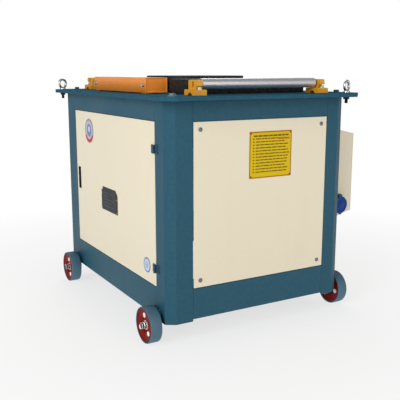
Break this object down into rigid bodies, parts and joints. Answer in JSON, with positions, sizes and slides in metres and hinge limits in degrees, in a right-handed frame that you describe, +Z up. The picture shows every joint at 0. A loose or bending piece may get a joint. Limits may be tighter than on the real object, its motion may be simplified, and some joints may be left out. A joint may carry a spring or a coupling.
{
  "type": "bar bending machine",
  "caption": "Wheeled steel cabinet with a table plate, geared bending disc, pin rails, feed rollers, side control box and hinged door.",
  "frame": {"origin": "on the floor, under the middle of the overall length and width", "axes": "+Z up, -Y out of the fixed front panel, -X out of the door, +X towards the control box"},
  "size_m": [0.9696, 1.096, 0.895],
  "materials": {
    "frame_paint": "semi-gloss blue-grey powder coat",
    "panel_paint": "satin cream powder coat",
    "hinge_paint": "painted hinge steel",
    "zinc": "zinc plated",
    "black_steel": "black oxide steel with a ground top",
    "orange_paint": "satin orange powder coat",
    "cast_yellow": "yellow enamel on castings",
    "socket_plastic": "blue moulded plastic",
    "cast_grey": "grey primer on cast iron",
    "motor_paint": "blue motor enamel",
    "belt_rubber": "fabric covered rubber belt",
    "black_plastic": "black moulded plastic",
    "ground_steel": "ground steel, lightly oiled",
    "wheel_tread": "blue-grey polyurethane tread on a red pressed core",
    "red_plastic": "red moulded plastic",
    "green_plastic": "green moulded plastic",
    "gear_steel": "machined steel, oiled"
  },
  "bodies": {
    "cabinet": {"post_front_left": "frame_paint", "post_front_right": "frame_paint", "post_rear_left": "frame_paint", "post_rear_right": "frame_paint", "lower_rail_front": "frame_paint", "lower_rail_rear": "frame_paint", "lower_rail_left": "frame_paint", "lower_rail_right": "frame_paint", "upper_rail_front": "frame_paint", "upper_rail_rear": "frame_paint", "upper_rail_left": "frame_paint", "upper_rail_right": "frame_paint", "table_plate": "frame_paint", "motor_bracket": "frame_paint", "front_panel": "panel_paint", "rear_panel": "panel_paint", "right_panel": "panel_paint", "control_box": "panel_paint", "control_box_cover": "panel_paint", "hinge_upper_frame_half": "hinge_paint", "hinge_lower_frame_half": "hinge_paint", "lifting_eye_rear_left": "zinc", "lifting_eye_front_right": "zinc", "axle_bracket_front_left": "zinc", "axle_bracket_front_right": "zinc", "axle_bracket_rear_left": "zinc", "axle_bracket_rear_right": "zinc", "pin_rail_front": "black_steel", "pin_rail_rear": "black_steel", "side_cover": "orange_paint", "roller_bracket_front_left": "cast_yellow", "roller_bracket_front_right": "cast_yellow", "roller_bracket_rear_left": "cast_yellow", "roller_bracket_rear_right": "cast_yellow", "power_socket": "socket_plastic", "gearbox_housing": "cast_grey", "gearbox_cover": "cast_grey", "motor": "motor_paint", "v_belt": "belt_rubber"},
    "door_leaf": {"door": "panel_paint", "door_pull": "black_plastic", "hinge_upper_door_half": "hinge_paint", "hinge_lower_door_half": "hinge_paint"},
    "front_roller": {"roller_front": "ground_steel"},
    "rear_roller": {"roller_rear": "ground_steel"},
    "front_left_wheel": {"wheel_front_left": "wheel_tread"},
    "front_right_wheel": {"wheel_front_right": "wheel_tread"},
    "rear_left_wheel": {"wheel_rear_left": "wheel_tread"},
    "rear_right_wheel": {"wheel_rear_right": "wheel_tread"},
    "stop_plunger": {"stop_button": "red_plastic"},
    "forward_plunger": {"forward_button": "green_plastic"},
    "reverse_plunger": {"reverse_button": "black_plastic"},
    "lid": {"socket_lid": "socket_plastic"},
    "disc": {"working_disc": "black_steel", "spindle": "ground_steel", "main_gear": "gear_steel"},
    "countershaft_body": {"countershaft": "gear_steel"},
    "input_body": {"input_pinion_shaft": "gear_steel", "driven_pulley": "black_steel"},
    "motor_rotor": {"motor_pulley": "black_steel"}
  },
  "joints": [
    {"name": "door_hinge", "type": "hinge", "parent": "cabinet", "child": "door_leaf", "pos_m": [-0.42675, -0.399, 0.457], "axis": [0, 0, 1], "range_deg": [0, 110]},
    {"name": "front_left_wheel_spin", "type": "hinge", "parent": "cabinet", "child": "front_left_wheel", "pos_m": [-0.45575, -0.409, 0.0635], "axis": [1, 0, 0], "continuous": true},
    {"name": "front_right_wheel_spin", "type": "hinge", "parent": "cabinet", "child": "front_right_wheel", "pos_m": [0.35725, -0.409, 0.0635], "axis": [1, 0, 0], "continuous": true},
    {"name": "rear_left_wheel_spin", "type": "hinge", "parent": "cabinet", "child": "rear_left_wheel", "pos_m": [-0.45575, 0.381, 0.0635], "axis": [1, 0, 0], "continuous": true},
    {"name": "rear_right_wheel_spin", "type": "hinge", "parent": "cabinet", "child": "rear_right_wheel", "pos_m": [0.35725, 0.381, 0.0635], "axis": [1, 0, 0], "continuous": true},
    {"name": "front_roller_spin", "type": "hinge", "parent": "cabinet", "child": "front_roller", "pos_m": [-0.05375, -0.466, 0.872], "axis": [1, 0, 0], "continuous": true},
    {"name": "rear_roller_spin", "type": "hinge", "parent": "cabinet", "child": "rear_roller", "pos_m": [-0.05375, 0.466, 0.872], "axis": [1, 0, 0], "continuous": true},
    {"name": "disc_spin", "type": "hinge", "parent": "cabinet", "child": "disc", "pos_m": [-0.04325, 0, 0.895], "axis": [0, 0, 1], "continuous": true},
    {"name": "countershaft_spin", "type": "hinge", "parent": "cabinet", "child": "countershaft_body", "pos_m": [-0.04325, -0.18, 0.6225], "axis": [0, 0, 1], "continuous": true},
    {"name": "input_spin", "type": "hinge", "parent": "cabinet", "child": "input_body", "pos_m": [0.10075, -0.18, 0.6225], "axis": [0, 0, 1], "continuous": true},
    {"name": "motor_spin", "type": "hinge", "parent": "cabinet", "child": "motor_rotor", "pos_m": [-0.03075, 0.289, 0.6225], "axis": [0, 0, 1], "continuous": true},
    {"name": "stop_press", "type": "slide", "parent": "cabinet", "child": "stop_plunger", "axis": [-1, 0, 0], "range_m": [0, 0.004], "stiffness_N_per_m": 800, "springref_m": -0.002},
    {"name": "forward_press", "type": "slide", "parent": "cabinet", "child": "forward_plunger", "axis": [-1, 0, 0], "range_m": [0, 0.004], "stiffness_N_per_m": 500, "springref_m": -0.002},
    {"name": "reverse_press", "type": "slide", "parent": "cabinet", "child": "reverse_plunger", "axis": [-1, 0, 0], "range_m": [0, 0.004], "stiffness_N_per_m": 500, "springref_m": -0.002},
    {"name": "socket_lid_hinge", "type": "hinge", "parent": "cabinet", "child": "lid", "pos_m": [0.37875, -0.4135, 0.434], "axis": [-1, 0, 0], "range_deg": [0, 105], "stiffness_Nm_per_rad": 0.02, "springref_deg": -22.92}
  ],
  "couplings": [
    {"joint": "countershaft_spin", "follows": "disc_spin", "ratio": -5},
    {"joint": "input_spin", "follows": "disc_spin", "ratio": 25},
    {"joint": "motor_spin", "follows": "disc_spin", "ratio": 75}
  ]
}
